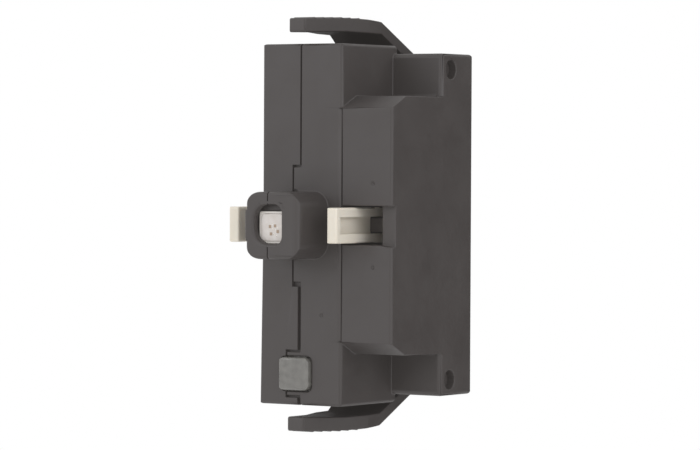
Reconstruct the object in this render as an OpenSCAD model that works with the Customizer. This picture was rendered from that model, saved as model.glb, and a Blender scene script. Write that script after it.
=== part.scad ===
// Contact block with a lit collar between two push plungers.
// Origin: the LED axis on the front plane of the nose. +Z is up, +X is to the
// right seen from the front, and +Y goes into the block.

/* [Nose] */
// Width of the nose, the narrow middle of the block
nose_w = 12; // [11.6:0.1:12.2]
// Height of the nose
nose_h = 45; // [44:0.5:48]
// Depth from the nose front to the base front
nose_depth = 11.4; // [11:0.2:13]
// Edge radius of the nose front
nose_edge_r = 0.45; // [0.2:0.05:0.6]
// Distance by which the nose's left side leans out at its foot
nose_lean = 0.3; // [0:0.05:0.4]
// Radius of the shallow dimples in the front
dimple_r = 0.25; // [0.15:0.05:0.4]
// Depth of the dimples
dimple_depth = 0.12; // [0.05:0.01:0.2]
// Distance of the shoulder's dimples from the right side face
dimple_inset = 2.8; // [2.4:0.1:3.4]
// Distance of the shoulder's dimples above and below a plunger
dimple_step = 2.95; // [2:0.05:4]

/* [Base] */
// Width of the base
base_w = 26.8; // [25.6:0.2:30]
// Step from the nose's end in to the base's end, at the top and the bottom
base_step = 1.05; // [0.6:0.05:1.3]
// Depth of the base
base_depth = 7.3; // [6.6:0.1:8]
// Radius of the base's upright rear edges
base_rear_r = 0.5; // [0.4:0.1:1]
// Radius of the base's other outer edges
base_edge_r = 0.6; // [0.2:0.1:0.8]

/* [Walls] */
// Wall of both shells
wall = 1.2; // [1:0.05:1.3]
// Rear wall of both shells
rear_wall = 1.2; // [1:0.05:1.6]

/* [Shoulders] */
// Height of the right shoulder's front face
shoulder_h = 29; // [26:0.5:31]
// Rise of the shoulder's sloped top and bottom
shoulder_rise = 1.5; // [0.5:0.1:2]
// Depth over which the shoulder rises
shoulder_ramp = 3.15; // [2:0.05:5]
// Width of the groove between nose and shoulder
groove_w = 0.35; // [0.2:0.05:0.5]
// Depth of the groove between nose and shoulder
groove_depth = 0.4; // [0.2:0.05:0.6]
// Wall of the left shoulder's side
left_shoulder_wall = 1; // [0.8:0.05:1.2]

/* [Collar] */
// Width of the collar round the LED
collar_w = 8; // [7.8:0.1:9.4]
// Height of the collar
collar_h = 8.32; // [7.6:0.02:10]
// Distance of the collar's middle below the LED axis
collar_drop = 0.06; // [0:0.02:0.1]
// Reach of the collar in front of the nose
collar_reach = 6.4; // [5.6:0.1:8]
// Corner radius of the collar
collar_r = 2.1; // [1:0.1:2.4]
// Edge radius of the collar's front on the right
collar_edge_r = 0.9; // [0.3:0.1:1]
// Edge radius of the collar's front on its other sides
collar_rim_r = 0.45; // [0.2:0.05:0.6]
// Swell of the collar's left side
collar_swell = 0.25; // [0.1:0.05:0.4]
// Half height of the swell
collar_swell_z = 1.9; // [1.2:0.1:2]
// Width of the light opening
light_w = 4.8; // [4.4:0.1:5]
// Height of the light opening
light_h = 5.1; // [4.8:0.1:6]
// Offset of the light opening to the left
light_shift = 1; // [0.8:0.05:1.1]
// Corner radius of the light opening
light_r = 1.2; // [0.4:0.1:1.6]

/* [Parting line] */
// Place of the seam between the two shells, left of the LED axis
seam_x = 0.1; // [0:0.05:0.3]
// Seam gap at the top of the nose
seam_gap_top = 0.16; // [0.1:0.02:0.3]
// Seam gap at the bottom of the nose
seam_gap_foot = 0.42; // [0.2:0.02:0.5]
// Place of the seam on the collar, left of the LED axis
collar_seam_x = 0.7; // [0.4:0.05:1]
// Reach of the right shell's middle tongue, left of the LED axis
mid_tongue_x = 1.23; // [0.8:0.01:1.6]
// Half height of the middle tongue
mid_tongue_z = 7.15; // [6:0.05:8]
// Reach of the right shell's lower tongue, left of the LED axis
low_tongue_x = 2.15; // [1.8:0.05:2.5]
// Reach of the lower tongue above and below the window
low_tongue_rim = 0.6; // [0.4:0.05:0.8]
// Gap round a tongue in the left shell
tongue_gap = 0.3; // [0.2:0.05:0.4]
// Gap under the left shell's part of the collar
lap_gap = 0.1; // [0.06:0.01:0.15]

/* [Plungers] */
// Distance from the nose's side to the inner face of a plunger
plunger_gap = 0.6; // [0.5:0.05:0.7]
// Thickness of a plunger across X
plunger_w = 1.5; // [1.3:0.05:1.6]
// Height of a plunger
plunger_h = 4.4; // [4.2:0.05:4.8]
// Reach of a plunger in front of the nose
plunger_reach = 4.2; // [3.6:0.1:5]
// Travel of a plunger
plunger_travel = 3.5; // [2.5:0.1:3.8]
// Front wall of a plunger
plunger_front_t = 0.8; // [0.6:0.05:1.2]
// Flange height of a plunger
flange_t = 1.15; // [1:0.05:1.3]
// Web of a plunger
web_t = 0.6; // [0.5:0.05:0.7]
// Depth behind the nose front at which the web ends
web_end = 4.7; // [4:0.1:6]
// Corner radius of a plunger's front
plunger_r = 0.3; // [0.1:0.05:0.4]
// Radius of a plunger's long edges
plunger_edge_r = 0.1; // [0.05:0.05:0.2]
// Depth of the plunger slot's floor behind the nose front
slot_depth = 6.4; // [6.2:0.1:6.8]
// Thickness of the guide plate at the slot's floor
guide_t = 1.2; // [1:0.05:1.4]
// Distance of the slot from the nose's side
slot_gap = 0.1; // [0.05:0.05:0.3]
// Width of the right plunger's slot
slot_w = 5.3; // [4.4:0.1:5.6]
// Clearance of a plunger above and below in the slot
slot_room = 0.22; // [0.15:0.01:0.3]
// Depth of the shallow recess beside the slot
recess_depth = 0.93; // [0.5:0.01:1.5]
// Drop of the recess's lower edge towards the side face
recess_drop = 0.2; // [0.1:0.05:0.3]
// Running clearance of a plunger in its guide
guide_gap = 0.15; // [0.1:0.01:0.2]
// Half height of the guide tongue between a plunger's flanges
tongue_half = 0.6; // [0.4:0.05:0.7]
// Length of the guide tongue in front of the guide plate
tongue_reach = 2; // [1:0.1:2.4]

/* [Contacts] */
// Thickness of a contact bridge
bridge_t = 0.4; // [0.3:0.02:0.5]
// Width of a contact bridge
bridge_w = 2; // [1.6:0.05:2.1]
// Distance from the plunger's centre to a contact point
contact_z = 5.6; // [5.2:0.05:5.9]
// Radius of a contact rivet
rivet_r = 0.8; // [0.6:0.05:0.85]
// Height of a contact rivet
rivet_h = 0.45; // [0.3:0.05:0.5]
// Thickness of a fixed contact's strip
strip_t = 0.5; // [0.4:0.02:0.6]
// Width of a fixed contact's strip
strip_w = 1.7; // [1.6:0.05:1.8]
// Distance between the front and the rear strips
strip_gap = 0.7; // [0.5:0.05:0.8]
// Gap left between closed contact faces
contact_gap = 0.02; // [0.01:0.01:0.05]
// Distance from the slider head's front to the bridge
bridge_setback = 2.5; // [2.2:0.05:2.6]
// Strip left round a rivet
rivet_margin = 0.1; // [0.05:0.05:0.2]
// Clearance of a bridge in its slider head
bridge_gap = 0.05; // [0.03:0.01:0.08]

/* [Springs] */
// Outer diameter of a return spring
spring_d = 1.8; // [1.6:0.05:1.9]
// Wire diameter of a return spring
spring_wire = 0.26; // [0.2:0.02:0.3]
// Turns of a return spring
spring_turns = 5; // [4:0.5:6]
// Clearance round a return spring
spring_gap = 0.1; // [0.05:0.01:0.15]
// Wall of the slider head round its spring
head_wall = 0.35; // [0.3:0.01:0.4]
// Wall of the slider head between its bridge and its spring
seat_wall = 0.9; // [0.7:0.05:1.1]
// Length of the spigot that centres a spring
spigot_h = 1; // [0.6:0.1:1.2]

/* [Plug socket] */
// Pitch of the socket's pins along the height
pin_pitch = 3.8; // [3.7:0.05:3.95]
// Side of a socket pin
pin_side = 0.8; // [0.7:0.05:0.9]
// Free room between a pin and the socket's wall
pin_room = 1.2; // [1:0.05:1.4]
// Wall of the socket body
socket_wall = 0.9; // [0.8:0.05:1]
// Floor of the socket body
socket_floor_t = 1.2; // [1:0.05:1.4]
// Height of the socket body's retaining lips
socket_lip = 1.1; // [0.6:0.1:1.6]
// Distance of the pin tips inside the rear face
pin_recess = 0.5; // [0.3:0.1:1]
// Clearance of a pin in the socket's floor
pin_gap = 0.05; // [0.03:0.01:0.1]
// Thickness of the retaining lips
lip_t = 0.9; // [0.7:0.05:1.1]
// Distance of the socket's mouth inside the rear face
socket_recess = 0.1; // [0.05:0.05:0.3]
// Corner radius of the socket body
socket_r = 0.4; // [0.2:0.05:0.6]
// Width of the keying groove
key_w = 2; // [1.6:0.1:2.4]
// Distance of the keying groove's end from the socket's floor
key_end = 1; // [0.6:0.1:1.4]

/* [Circuit board and lights] */
// Thickness of the circuit board
board_t = 1; // [0.8:0.05:1.1]
// Height of the board above the LED axis
board_top = 13; // [12:0.5:18]
// Distance of the board's lower end from the nose's lower wall
board_foot_gap = 0.2; // [0.1:0.05:0.4]
// Half height of the board's tongue in the collar
board_tongue_half = 1.9; // [1.5:0.05:2]
// Distance of the tongue's end behind the LED's front
board_tongue_gap = 0.6; // [0.4:0.1:1]
// Margin of the board's notch behind the window
notch_margin = 1.4; // [1.2:0.1:1.8]
// Distance of the soldered parts from the board's rear edge
part_setback = 0.8; // [0.5:0.1:1.2]
// Rectifier: thickness, length along the depth, height
rectifier_size = [1.3, 3.8, 4.6]; // [0.4:0.1:5]
// Rectifier's height above the LED axis
rectifier_z = 9.4; // [9:0.1:10]
// Control chip: thickness, length, height
chip_size = [1.2, 3.9, 5]; // [0.4:0.1:5.2]
// Control chip's distance below the LED axis
chip_z = 6.4; // [6:0.1:7]
// Series resistor: thickness, length, height
resistor_size = [0.6, 3.2, 1.6]; // [0.4:0.1:3.4]
// Lower resistor's height above the LED axis
resistor_z = 2.9; // [2.6:0.1:3.2]
// Pitch of the two resistors
resistor_pitch = 2.3; // [2:0.1:2.5]
// Suppressor diode: thickness, length, height
diode_size = [1.1, 3.4, 1.8]; // [0.4:0.1:3.8]
// Suppressor diode's distance below the LED axis
diode_z = 12; // [11:0.1:13]
// Diagnostic LED: thickness, length, height
side_led_size = [1.9, 1.2, 1.8]; // [0.8:0.1:2]
// Width and height of the LED
led_side = 4; // [3.6:0.05:4.1]
// Distance of the LED from the light opening's right side
led_gap = 0.15; // [0.1:0.05:0.3]
// Distance of the LED's middle below the LED axis
led_drop = 0.3; // [0:0.05:0.4]
// Corner radius of the LED
led_r = 0.3; // [0.2:0.05:0.5]
// Corner radius of the LED's marked corner
led_mark_r = 0.8; // [0.6:0.05:1]
// Corner radius of the LED's cup
cup_r = 0.6; // [0.3:0.05:0.8]
// Distance of the LED's front inside the collar's front
led_recess = 1.2; // [0.8:0.1:1.6]
// Depth of the LED's body
led_depth = 4.6; // [4:0.1:5]
// Rim of the LED's reflector
led_rim = 0.3; // [0.2:0.05:0.5]
// Distance of the diagnostic window's middle from the nose's lower end
window_inset = 3.9; // [3.8:0.05:4.2]
// Width of the diagnostic window
window_w = 4.6; // [4:0.1:4.8]
// Height of the diagnostic window
window_h = 4.2; // [3.6:0.1:4.4]
// Offset of the window to the left
window_shift = 0.8; // [0.7:0.05:0.9]
// Reach of the window in front of the nose
window_reach = 0.6; // [0.3:0.05:1]
// Corner radius of the window
window_r = 0.8; // [0.4:0.05:1]
// Gap round the window
window_gap = 0.12; // [0.08:0.01:0.15]
// Width of the window's flange behind the wall
window_flange = 0.6; // [0.4:0.05:0.8]
// Thickness of the flange
window_flange_t = 0.8; // [0.6:0.05:1]
// Half width of the window's stem
window_stem = 1.1; // [0.9:0.05:1.2]
// Length of the stem behind the wall
window_stem_h = 2; // [1.6:0.1:2.1]

/* [Latch levers] */
// Gap between the nose's end and a lever
lever_gap = 1.6; // [1.4:0.05:3]
// Thickness of a lever
lever_t = 1.72; // [1.5:0.02:1.8]
// Reach of a lever in front of the nose
lever_reach = 1.2; // [0.6:0.1:2]
// Width of a lever's tip
lever_tip_w = 2.5; // [2:0.1:3.5]
// Width of a lever behind its taper
lever_w = 8; // [6.5:0.1:8.6]
// Width of a lever at its root
lever_root_w = 10; // [9:0.1:10.4]
// Depth at which the lever's taper ends
lever_taper_y = 9; // [8:0.1:10]
// Depth at which the lever bends down to its root
lever_bend_y = 11.9; // [11.2:0.1:12.4]
// Depth at which the lever is highest
lever_crest_y = 5.4; // [4:0.1:7]
// Drop of the outer face from its crest to the tip
lever_tip_drop = 0.15; // [0.1:0.01:0.3]
// Drop of the outer face from its crest to the bend
lever_bend_drop = 0.3; // [0.2:0.01:0.4]
// Thickness that the lever gains at its tip
lever_tip_gain = 0.2; // [0.1:0.01:0.3]
// Radius of the lever's tip
lever_tip_r = 0.35; // [0.2:0.05:0.5]
// Distance from the bend to the inner end of the root
lever_root_in = 3.9; // [3.4:0.1:4.2]
// Distance of the root's outer end inside the rear face
lever_root_gap = 0.4; // [0.3:0.05:0.6]
// Clearance of a lever's root above the left shell
root_gap = 0.05; // [0.03:0.01:0.08]
// Pitch of the grip ribs
rib_pitch = 1.4; // [1.1:0.05:1.8]
// Height of the grip ribs
rib_h = 0.1; // [0.06:0.02:0.25]
// Number of grip ribs
rib_count = 4; // [3:1:6]
// Depth of the first grip rib
rib_start = 0.5; // [0:0.1:1.5]
// Radius of a grip rib
rib_r = 0.4; // [0.3:0.05:0.6]

/* [Pegs] */
// Radius of the two holes for the left shell's pegs
peg_hole_r = 1.2; // [1:0.05:1.3]
// Running clearance of a peg in its hole
peg_gap = 0.04; // [0.02:0.01:0.06]
// Distance of the pegs from the base's top and bottom
peg_inset = 2; // [1.9:0.05:2.4]
// Depth of the pegs behind the base front
peg_depth = 2.06; // [2:0.02:3]
// Distance of the peg ends inside the right side face
peg_recess = 0.55; // [0.4:0.05:1.4]
// Wall of the bosses round the peg holes
boss_wall = 0.7; // [0.6:0.05:0.7]
// Share of a peg's radius that its end is rounded by
peg_dome = 0.6; // [0.4:0.05:0.8]

/* [Hidden] */
$fn = 48;

housing_colour = [0.36, 0.34, 0.33];
cover_colour = [0.34, 0.32, 0.31];
ivory = [0.87, 0.84, 0.79];
silver = [0.78, 0.78, 0.8];
copper = [0.8, 0.62, 0.42];
steel = [0.66, 0.67, 0.68];
board_green = [0.16, 0.38, 0.24];
epoxy_black = [0.12, 0.12, 0.13];
socket_black = [0.17, 0.17, 0.18];
light_white = [0.9, 0.87, 0.84];
window_grey = [0.56, 0.56, 0.54];

// how far a cutter runs past the face that it cuts
over = 1;
total_depth = nose_depth + base_depth;
rear_in = total_depth - rear_wall;
nose_x = nose_w / 2;
nose_z = nose_h / 2;
base_x = base_w / 2;
base_z = nose_z - base_step;
plunger_x = nose_x + plunger_gap;
lever_z = nose_z + lever_gap + lever_t;
window_z = nose_z - window_inset;
shoulder_top = shoulder_h / 2 + shoulder_rise;

// the slider's stations, from the front to the rear
guide_rear = slot_depth + guide_t;
head_stop_gap = 0.05;
head_front = guide_rear + head_stop_gap;
bridge_front = head_front + bridge_setback;
bridge_rear = bridge_front + bridge_t;
nc_rear = bridge_front - 2 * rivet_h - contact_gap;
nc_front = nc_rear - strip_t;
no_cross_front = nc_rear + strip_gap;
no_front = bridge_rear + 2 * rivet_h + plunger_travel + contact_gap;
spring_seat = bridge_rear + seat_wall;
head_end_gap = 0.3;
head_rear = rear_in - plunger_travel - head_end_gap;

// the slider head and what it carries, across X
slider_x = plunger_x + plunger_w / 2;
head_w = spring_d + 2 * (spring_gap + head_wall);
bridge_end = contact_z + rivet_r + rivet_margin;
chamber_gap = 0.2;
left_shoulder_x = slider_x + head_w / 2 + chamber_gap + left_shoulder_wall;

// the circuit board, the pins beside it and the LED in front of it
board_room = 0.15;
led_front = led_recess - collar_reach;
led_cup = led_side - 2 * led_rim;
led_cup_floor = led_front + led_depth / 2;
led_crown = 0.1;
led_x = light_w / 2 - light_shift - led_gap - led_side / 2;
board_x = led_x + led_side / 2;
pin_x = board_x + board_t + pin_side / 2;
board_rear_gap = 0.8;
board_rear = nc_front - board_rear_gap;
foot_y = board_rear - 2 * pin_side;
part_rear = board_rear - part_setback;
pin_tip = total_depth - pin_recess;

// the socket body
strip_room = 0.7;
socket_front = no_cross_front + strip_t + strip_room;
socket_floor = socket_front + socket_floor_t;
socket_in_x = pin_x + pin_side / 2 + pin_room;
socket_in_z = 2 * pin_pitch + pin_side / 2 + pin_room;
socket_x = socket_in_x + socket_wall;
socket_z = socket_in_z + socket_wall;
socket_gap = 0.08;
socket_side_room = 0.3;
left_shoulder_z = socket_z + socket_side_room + wall;

// the window: clearance behind the wall, and the share of its reach that is rounded
window_play = 0.02;
window_crown = 0.7;
stem_gap = 0.2;

// the dimples: two in the right shoulder and one in the lower nose
dimple_x = base_x - dimple_inset;
dimple_z = plunger_h / 2 + dimple_step;
dimple_places = [[dimple_x, dimple_z], [dimple_x, -dimple_z], [nose_x / 2, -nose_z / 2]];

// the pegs
peg_y = nose_depth + peg_depth;
peg_z = base_z - peg_inset;

// SHAPING AIDS

module slab(low, high) {
    translate(low) cube(high - low);
}

// a drawing in X and Z, given its depth along Y
module prism_y(front, rear) {
    translate([0, rear, 0]) rotate([90, 0, 0]) linear_extrude(rear - front) children();
}

// a drawing in Y and Z, given its width along X
module prism_x(left, right) {
    translate([left, 0, 0]) rotate([90, 0, 90]) linear_extrude(right - left) children();
}

// a drawing in X and Y, given its height along Z
module prism_z(foot, top) {
    translate([0, 0, foot]) linear_extrude(top - foot) children();
}

// a rectangle whose four corners are rounded one by one, in the order
// low-low, high-low, high-high, low-high
module soft_rect(low, high, radii) {
    corners = [low, [high.x, low.y], high, [low.x, high.y]];
    inward = [[1, 1], [-1, 1], [-1, -1], [1, -1]];
    difference() {
        translate(low) square(high - low);
        for (i = [0:3]) if (radii[i] > 0)
            translate(corners[i]) facing(inward[i]) edge_cut(radii[i]);
    }
}

// what comes off a corner at the origin when it is rounded
module edge_cut(r) {
    difference() {
        translate([-over, -over]) square(r + over);
        translate([r, r]) circle(r);
    }
}

// turns a corner cutter towards the middle of its rectangle
module facing(way) {
    mirror([way.x < 0 ? 1 : 0, 0]) mirror([0, way.y < 0 ? 1 : 0]) children();
}

// points along a round stretch, from one angle to another
function arc(middle, r, from, to, steps) = [for (i = [0:steps])
    let (a = from + (to - from) * i / steps) middle + r * [cos(a), sin(a)]];

// radius of an arc from its half chord and its height
function arc_r(half, rise) = (half * half + rise * rise) / (2 * rise);

module mirrored_left() {
    mirror([1, 0, 0]) children();
}

module mirrored_down() {
    mirror([0, 0, 1]) children();
}

// SHELLS: OUTER FORM

// front view of the nose: its left side leans out below the LED axis
module nose_outline(lean) {
    r = nose_edge_r;
    x = nose_x - r;
    z = nose_z - r;
    lean_z = nose_z - r * (1 + sin(lean));
    polygon(concat(
        arc([x, z], r, 0, 90, 6),
        arc([-x, z], r, 90, 180, 6),
        [[-nose_x, 0]],
        arc([r * cos(lean) - nose_x - lean_z * tan(lean), -z], r, 180 - lean, 270, 6),
        arc([x, -z], r, 270, 360, 6)));
}

module nose_block() {
    rear = nose_depth + over;
    r = nose_edge_r;
    lean = atan(nose_lean / nose_z);
    difference() {
        intersection() {
            prism_y(0, rear) nose_outline(lean);
            prism_x(-nose_x - over, nose_x) soft_rect([0, -nose_z], [rear, nose_z], [r, 0, 0, r]);
        }
        translate([nose_x, 0, 0]) mirrored_left() prism_z(-nose_z - over, nose_z + over) edge_cut(r);
        translate([-nose_x, 0, 0]) prism_z(0, nose_z + over) edge_cut(r);
        translate([-nose_x, 0, 0]) rotate([0, lean, 0]) prism_z(-nose_z - over, 0) edge_cut(r);
    }
}

module base_block() {
    intersection() {
        prism_z(-base_z, base_z)
            soft_rect([-base_x, nose_depth], [base_x, total_depth],
                [base_edge_r, base_edge_r, base_rear_r, base_rear_r]);
        prism_x(-base_x, base_x)
            soft_rect([nose_depth, -base_z], [total_depth, base_z],
                [base_edge_r, base_edge_r, base_edge_r, base_edge_r]);
    }
}

module right_shoulder() {
    front_z = shoulder_h / 2;
    root_y = nose_depth + base_depth / 2;
    intersection() {
        prism_x(nose_x - over, base_x)
            polygon([[0, -front_z], [shoulder_ramp, -shoulder_top], [root_y, -shoulder_top],
                [root_y, shoulder_top], [shoulder_ramp, shoulder_top], [0, front_z]]);
        prism_z(-shoulder_top, shoulder_top)
            soft_rect([nose_x - over, 0], [base_x, root_y], [0, nose_edge_r, 0, 0]);
    }
}

module left_shoulder() {
    prism_z(-left_shoulder_z, left_shoulder_z)
        soft_rect([-left_shoulder_x, slot_depth], [over - nose_x, nose_depth + over],
            [nose_edge_r, 0, 0, 0]);
}

// the square collar, with a swell in its left side
module collar_block() {
    x = collar_w / 2;
    z = collar_h / 2;
    r = collar_r;
    rim = collar_rim_r;
    front = -collar_reach;
    translate([0, 0, -collar_drop]) intersection() {
        union() {
            intersection() {
                prism_y(front, over) soft_rect([-x, -z], [x, z], [r, r, r, r]);
                prism_z(-z, z) soft_rect([-x, front], [x, over], [rim, collar_edge_r, 0, 0]);
            }
            intersection() {
                prism_y(front, over) swelling();
                prism_z(-z, z) soft_rect([-x - collar_swell, front], [0, over], [rim, 0, 0, 0]);
            }
        }
        prism_x(-x - collar_swell, x) soft_rect([front, -z], [over, z], [rim, 0, 0, rim]);
    }
}

// front view of the swell beside the light opening
module swelling() {
    swell_r = arc_r(collar_swell_z, collar_swell);
    left = -collar_w / 2 - collar_swell;
    intersection() {
        translate([left + swell_r, 0]) circle(swell_r, $fn = 144);
        translate([left, -collar_swell_z]) square([-left, 2 * collar_swell_z]);
    }
}

module outer_form() {
    difference() {
        union() {
            nose_block();
            right_shoulder();
        }
        // the groove that parts the nose front from the shoulder front
        slab([nose_x - groove_w, -over, -shoulder_h / 2], [nose_x, groove_depth, shoulder_h / 2]);
        dimples();
    }
    base_block();
    left_shoulder();
    collar_block();
}

// small round dishes that the mould leaves in the front
module dimples() {
    dish_r = arc_r(dimple_r, dimple_depth);
    for (place = dimple_places)
        translate([place.x, dimple_depth - dish_r, place.y]) sphere(dish_r, $fn = 24);
}

// SHELLS: HOLLOWS AND OPENINGS

module hollows() {
    base_in_z = base_z - wall;
    shoulder_in_z = shoulder_h / 2 - wall;
    pocket_z = plunger_h / 2 + slot_room + wall;
    pocket_x = nose_x + wall;
    // nose
    slab([wall - nose_x, wall, wall - nose_z], [nose_x - wall, rear_in, nose_z - wall]);
    // base
    slab([wall - base_x, nose_depth + wall, -base_in_z], [base_x - wall, rear_in, base_in_z]);
    // right shoulder behind the guide plate
    slab([nose_x - wall - over, guide_rear, -shoulder_in_z],
        [base_x - wall, rear_in, shoulder_in_z]);
    // right shoulder's front, cored out above and below the slot
    for (flip = [0, 1]) mirror([0, 0, flip])
        slab([pocket_x, wall, pocket_z], [base_x - wall, guide_rear + over, shoulder_in_z]);
    // left shoulder
    slab([left_shoulder_wall - left_shoulder_x, guide_rear, wall - left_shoulder_z],
        [wall + over - nose_x, rear_in, left_shoulder_z - wall]);
}

module plunger_slot() {
    half = plunger_h / 2 + slot_room;
    left = nose_x + slot_gap;
    right = left + slot_w;
    prism_y(-over, slot_depth) translate([left, -half]) square([slot_w, 2 * half]);
    // shallow recess out through the side face, its lower edge sloped
    prism_y(-over, recess_depth)
        polygon([[right - over, half], [base_x + over, half], [base_x + over, -half - recess_drop],
            [base_x - nose_edge_r, -half - recess_drop], [right + recess_drop, -half],
            [right - over, -half]]);
}

// the slider's way through the guide plate
module guide_hole() {
    slab([plunger_x - guide_gap, slot_depth - over, -plunger_h / 2 - guide_gap],
        [plunger_x + plunger_w + guide_gap, guide_rear + over, plunger_h / 2 + guide_gap]);
}

// stands between the plunger's flanges and keeps it upright
module guide_tongue() {
    slab([plunger_x + web_t + guide_gap, slot_depth - tongue_reach, -tongue_half],
        [plunger_x + plunger_w + guide_gap + wall / 2, guide_rear, tongue_half]);
}

module light_opening() {
    left = -light_w / 2 - light_shift;
    right = light_w / 2 - light_shift;
    tongue_z = board_tongue_half + board_room;
    prism_y(-collar_reach - over, wall + over)
        soft_rect([left, -light_h / 2], [right, light_h / 2],
            [light_r, light_r, light_r, light_r]);
    // room for the board's tongue, behind the collar's right wall
    slab([right - light_r, led_front + board_tongue_gap - board_room, -tongue_z],
        [board_x + board_t + board_room, wall + over, tongue_z]);
}

module window_opening() {
    x = window_w / 2 + window_gap;
    z = window_h / 2 + window_gap;
    prism_y(-over, wall + over) translate([-window_shift, -window_z])
        soft_rect([-x, -z], [x, z], [window_r, window_r, window_r, window_r]);
}

module socket_opening() {
    slab([-socket_x - socket_gap, rear_in - over, -socket_z - socket_gap],
        [socket_x + socket_gap, total_depth + over, socket_z + socket_gap]);
}

module shell_body() {
    spigot_r = spring_d / 2 - spring_wire - spring_gap;
    difference() {
        outer_form();
        hollows();
        plunger_slot();
        guide_hole();
        mirrored_left() guide_hole();
        light_opening();
        window_opening();
        socket_opening();
    }
    guide_tongue();
    mirrored_left() guide_tongue();
    // spigots that centre the return springs
    for (side = [-1, 1])
        translate([side * slider_x, rear_in + rear_wall / 2, 0]) rotate([90, 0, 0])
            cylinder(h = rear_wall / 2 + spigot_h, r = spigot_r);
}

// SHELLS: THE PARTING LINE

// the room of the right shell seen from the front, its edge shifted left by
// the gaps and its tongues made higher by the rim
module right_outline(gap_top, gap_foot, rim) {
    right = base_x + over;
    top = nose_z + over;
    high = -seam_x - gap_top;
    low = -seam_x - gap_foot;
    mid_end = -mid_tongue_x - gap_top;
    mid_top = mid_tongue_z + rim;
    mid_foot = -mid_tongue_z - 2 * rim;
    low_end = -low_tongue_x - gap_top;
    low_top = window_h / 2 - window_z + low_tongue_rim + rim;
    low_foot = -window_z - window_h / 2 - low_tongue_rim - rim;
    polygon([[right, top], [high, top], [high, mid_top], [mid_end, mid_top],
        [mid_end, mid_foot], [low, mid_foot], [low, low_top], [low_end, low_top],
        [low_end, low_foot], [low, low_foot], [low, -top], [right, -top]]);
}

// everything right of the seam, or right of the gap when gaps are given
module right_room(gap_top, gap_foot, rim) {
    reach = collar_reach + over;
    top = nose_z + over;
    prism_y(0, wall) right_outline(gap_top, gap_foot, rim);
    slab([-collar_seam_x - gap_top / 2, -reach, -top], [base_x + over, 0, top]);
    slab([-seam_x - gap_top, wall, -top], [base_x + over, total_depth + over, top]);
}

// keeps the right shell's middle tongue clear of the collar part in front of it
module collar_lap() {
    half = collar_h / 2 + collar_drop + lap_gap;
    slab([-mid_tongue_x - over, -over, -half], [-collar_seam_x, lap_gap, half]);
}

// LATCH LEVERS

// side view of the upper lever, from the tip back to its root on the base
module lever_profile() {
    tip = -lever_reach;
    tip_top = lever_z - lever_tip_drop;
    tip_foot = lever_z - lever_t - lever_tip_gain;
    low = lever_z - lever_t;
    run = lever_bend_y - lever_crest_y;
    crest_r = arc_r(run, lever_bend_drop);
    sweep = asin(run / crest_r);
    root_end = total_depth - lever_root_gap;
    root_foot = base_z + root_gap;
    bend_low = low - lever_bend_drop / 2;
    r = lever_tip_r;
    polygon(concat(
        arc([tip + r, tip_foot + r], r, 270, 180, 5),
        arc([tip + r, tip_top - r], r, 180, 95, 5),
        arc([lever_crest_y, lever_z - crest_r], crest_r, 90, 90 - sweep, 8),
        [[root_end, root_foot], [lever_bend_y + lever_root_in, root_foot], [lever_bend_y, bend_low],
        [lever_crest_y, low]]));
}

module lever_plan() {
    root = total_depth;
    r = lever_tip_r;
    side_x = lever_tip_w / 2;
    half = concat(
        arc([side_x - r, r - lever_reach], r, 270, 345, 5),
        [[lever_w / 2, lever_taper_y], [lever_w / 2, lever_bend_y], [lever_root_w / 2, root]]);
    polygon(concat(half, [for (i = [len(half) - 1:-1:0]) [-half[i].x, half[i].y]]));
}

module lever() {
    half = lever_root_w / 2;
    root_in = lever_bend_y + lever_root_in;
    intersection() {
        union() {
            prism_x(-half, half) lever_profile();
            for (i = [0:rib_count - 1])
                translate([-half, rib_start + i * rib_pitch, rib_crest(i) - rib_r])
                    rotate([0, 90, 0]) cylinder(h = lever_root_w, r = rib_r);
        }
        prism_z(base_z, lever_z + over) lever_plan();
    }
    // the right half of the root grows out of the right shell
    slab([-seam_x, root_in, base_z - wall],
        [half - lever_root_gap, total_depth - base_edge_r, base_z + 2 * root_gap]);
}

// height of a grip rib, above the line from the lever's tip to its crest
function rib_crest(i) = lever_z + rib_h - lever_tip_drop
    * (lever_crest_y - rib_start - i * rib_pitch) / (lever_crest_y + lever_reach);

// PIECES

module housing() color(housing_colour) {
    boss_r = peg_hole_r + boss_wall;
    difference() {
        union() {
            intersection() {
                shell_body();
                right_room(0, 0, 0);
            }
            for (flip = [0, 1]) mirror([0, 0, flip]) {
                lever();
                translate([0, peg_y, peg_z]) rotate([0, 90, 0])
                    cylinder(h = base_x - wall / 2, r = boss_r);
            }
        }
        for (flip = [0, 1]) mirror([0, 0, flip])
            translate([-over, peg_y, peg_z]) rotate([0, 90, 0])
                cylinder(h = base_x + 2 * over, r = peg_hole_r);
        collar_lap();
    }
}

module cover() color(cover_colour) {
    peg_r = peg_hole_r - peg_gap;
    boss_r = peg_hole_r + boss_wall;
    boss_end = seam_x + seam_gap_foot;
    boss_h = base_x - wall / 2 - boss_end;
    peg_h = base_x - peg_recess + boss_end + over;
    difference() {
        shell_body();
        right_room(seam_gap_top, seam_gap_foot, tongue_gap);
    }
    for (flip = [0, 1]) mirror([0, 0, flip])
        translate([0, peg_y, peg_z]) rotate([0, 90, 0]) {
            translate([0, 0, wall / 2 - base_x]) cylinder(h = boss_h, r = boss_r);
            translate([0, 0, -boss_end - over]) rotate_extrude() peg_profile(peg_r, peg_h);
        }
}

// half section of a peg with a rounded end
module peg_profile(r, length) {
    dome = r * peg_dome;
    square([r, length - dome]);
    square([r - dome, length]);
    translate([r - dome, length - dome]) intersection() {
        square(dome);
        circle(dome);
    }
}

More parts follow.
